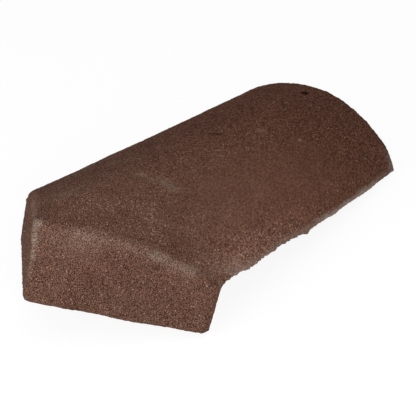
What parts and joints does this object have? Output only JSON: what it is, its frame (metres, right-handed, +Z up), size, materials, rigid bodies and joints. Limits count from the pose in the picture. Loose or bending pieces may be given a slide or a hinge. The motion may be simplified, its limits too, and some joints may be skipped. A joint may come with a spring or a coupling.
{
  "type": "hip tile",
  "caption": "Arched, hollow concrete hip tile whose eaves end is closed by a pointed nose with a skirt, with a nail hole near its open tail.",
  "frame": {"origin": "centre of the footprint on the floor that the tile rests on", "axes": "+X along the barrel from the nose to the open tail, +Z up, +Y across"},
  "size_m": [0.4646, 0.24, 0.1198],
  "materials": {
    "concrete": "matt, through-coloured dark brown, with a sanded surface"
  },
  "bodies": {
    "root": {"hip_tile": "concrete"}
  },
  "joints": []
}
